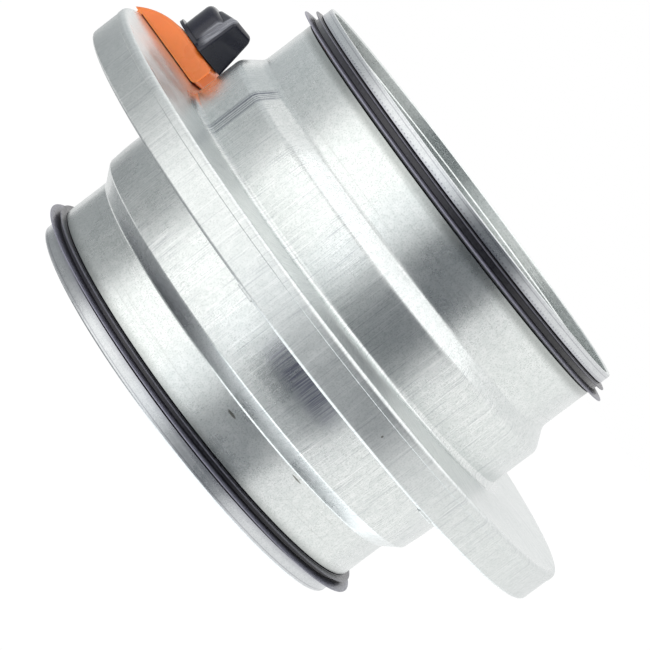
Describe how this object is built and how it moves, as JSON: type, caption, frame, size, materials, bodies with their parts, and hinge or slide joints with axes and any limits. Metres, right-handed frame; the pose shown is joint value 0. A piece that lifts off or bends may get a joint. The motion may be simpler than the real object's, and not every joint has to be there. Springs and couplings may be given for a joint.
{
  "type": "iris damper",
  "caption": "Round duct iris damper with gasketed spigots, a flat drum of crescent blades, and a bar knob that turns the slotted rotor ring through a pinion.",
  "frame": {"origin": "centre of the rear spigot's end", "axes": "+Z along the duct axis from the rear spigot to the front one; the knob is at -Y on the front face"},
  "size_m": [0.193, 0.1951, 0.098],
  "materials": {
    "galvanised_steel": "zinc coated sheet, satin, with fine scratches",
    "gasket_rubber": "dark slate double-lip gasket",
    "cover_plastic": "satin orange moulding",
    "knob_plastic": "satin blue-black moulding",
    "guide_plastic": "natural acetal",
    "scale_sheet": "plain scale with numbers",
    "rivet_steel": "plated steel",
    "cap_rubber": "black rubber"
  },
  "bodies": {
    "housing": {"rear_shell": "galvanised_steel", "front_shell": "galvanised_steel", "rear_gasket": "gasket_rubber", "front_gasket": "gasket_rubber", "pivot_rivets": "rivet_steel", "pivot_spacers": "rivet_steel", "ring_guides": "guide_plastic", "guide_rivets": "rivet_steel", "knob_cover": "cover_plastic", "shaft_bush": "guide_plastic", "scale_plate": "scale_sheet", "front_nipple": "rivet_steel", "rear_nipple": "rivet_steel", "front_nipple_cap": "cap_rubber", "rear_nipple_cap": "cap_rubber"},
    "rotor": {"rotor_ring": "galvanised_steel", "position_pointer": "cover_plastic"},
    "knob_drive": {"drive_pinion": "guide_plastic", "knob_collar": "knob_plastic", "knob": "knob_plastic", "shaft_clip": "rivet_steel"},
    "blade_1": {"blade_1": "galvanised_steel", "blade_stud_1": "rivet_steel"},
    "blade_2": {"blade_2": "galvanised_steel", "blade_stud_2": "rivet_steel"},
    "blade_3": {"blade_3": "galvanised_steel", "blade_stud_3": "rivet_steel"},
    "blade_4": {"blade_4": "galvanised_steel", "blade_stud_4": "rivet_steel"},
    "blade_5": {"blade_5": "galvanised_steel", "blade_stud_5": "rivet_steel"},
    "blade_6": {"blade_6": "galvanised_steel", "blade_stud_6": "rivet_steel"}
  },
  "joints": [
    {"name": "rotor_turn", "type": "hinge", "parent": "housing", "child": "rotor", "pos_m": [0, 0, 0.0488], "axis": [0, 0, 1], "range_deg": [-8, 8]},
    {"name": "knob_turn", "type": "hinge", "parent": "housing", "child": "knob_drive", "pos_m": [0, -0.08, 0.06], "axis": [0, 0, 1], "range_deg": [-114.7, 114.7]},
    {"name": "blade_1_swing", "type": "hinge", "parent": "housing", "child": "blade_1", "pos_m": [-0.05901, -0.06861, 0.0458], "axis": [0, 0, 1], "range_deg": [-10, 10]},
    {"name": "blade_2_swing", "type": "hinge", "parent": "housing", "child": "blade_2", "pos_m": [0.02991, -0.08541, 0.0458], "axis": [0, 0, 1], "range_deg": [-10, 10]},
    {"name": "blade_3_swing", "type": "hinge", "parent": "housing", "child": "blade_3", "pos_m": [0.08893, -0.0168, 0.0458], "axis": [0, 0, 1], "range_deg": [-10, 10]},
    {"name": "blade_4_swing", "type": "hinge", "parent": "housing", "child": "blade_4", "pos_m": [0.05901, 0.06861, 0.0458], "axis": [0, 0, 1], "range_deg": [-10, 10]},
    {"name": "blade_5_swing", "type": "hinge", "parent": "housing", "child": "blade_5", "pos_m": [-0.02991, 0.08541, 0.0458], "axis": [0, 0, 1], "range_deg": [-10, 10]},
    {"name": "blade_6_swing", "type": "hinge", "parent": "housing", "child": "blade_6", "pos_m": [-0.08893, 0.0168, 0.0458], "axis": [0, 0, 1], "range_deg": [-10, 10]}
  ],
  "couplings": [
    {"joint": "knob_turn", "follows": "rotor_turn", "ratio": 14.333},
    {"joint": "blade_1_swing", "follows": "rotor_turn", "ratio": 1.25},
    {"joint": "blade_2_swing", "follows": "rotor_turn", "ratio": 1.25},
    {"joint": "blade_3_swing", "follows": "rotor_turn", "ratio": 1.25},
    {"joint": "blade_4_swing", "follows": "rotor_turn", "ratio": 1.25},
    {"joint": "blade_5_swing", "follows": "rotor_turn", "ratio": 1.25},
    {"joint": "blade_6_swing", "follows": "rotor_turn", "ratio": 1.25}
  ]
}
